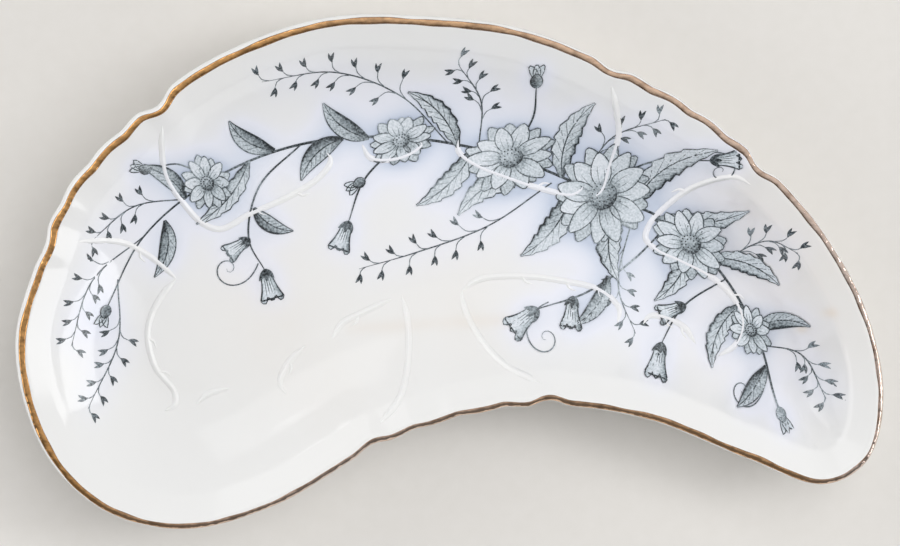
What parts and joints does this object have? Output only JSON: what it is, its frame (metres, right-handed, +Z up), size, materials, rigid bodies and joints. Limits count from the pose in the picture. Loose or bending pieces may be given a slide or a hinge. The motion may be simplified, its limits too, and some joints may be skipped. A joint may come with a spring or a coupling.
{
  "type": "bone dish",
  "caption": "Crescent side dish of white glazed earthenware with a fluted gilt lip, moulded scrolls and a grey floral print, set beside a dinner plate to take bones",
  "frame": {"origin": "under the middle of the dish, on the plane that the foot ring stands on", "axes": "+X along the dish from its round lobe to its narrow tip, +Y to the long convex side, +Z up out of the well"},
  "size_m": [0.165, 0.0964, 0.019],
  "materials": {
    "white_glaze": "clear gloss glaze over white earthenware",
    "foot_ware": "white earthenware, glaze rubbed off where it stands",
    "gilding": "burnished gold line, worn"
  },
  "bodies": {
    "root": {"dish_body": "white_glaze", "foot_ring": "foot_ware", "gilt_rim": "gilding"}
  },
  "joints": []
}
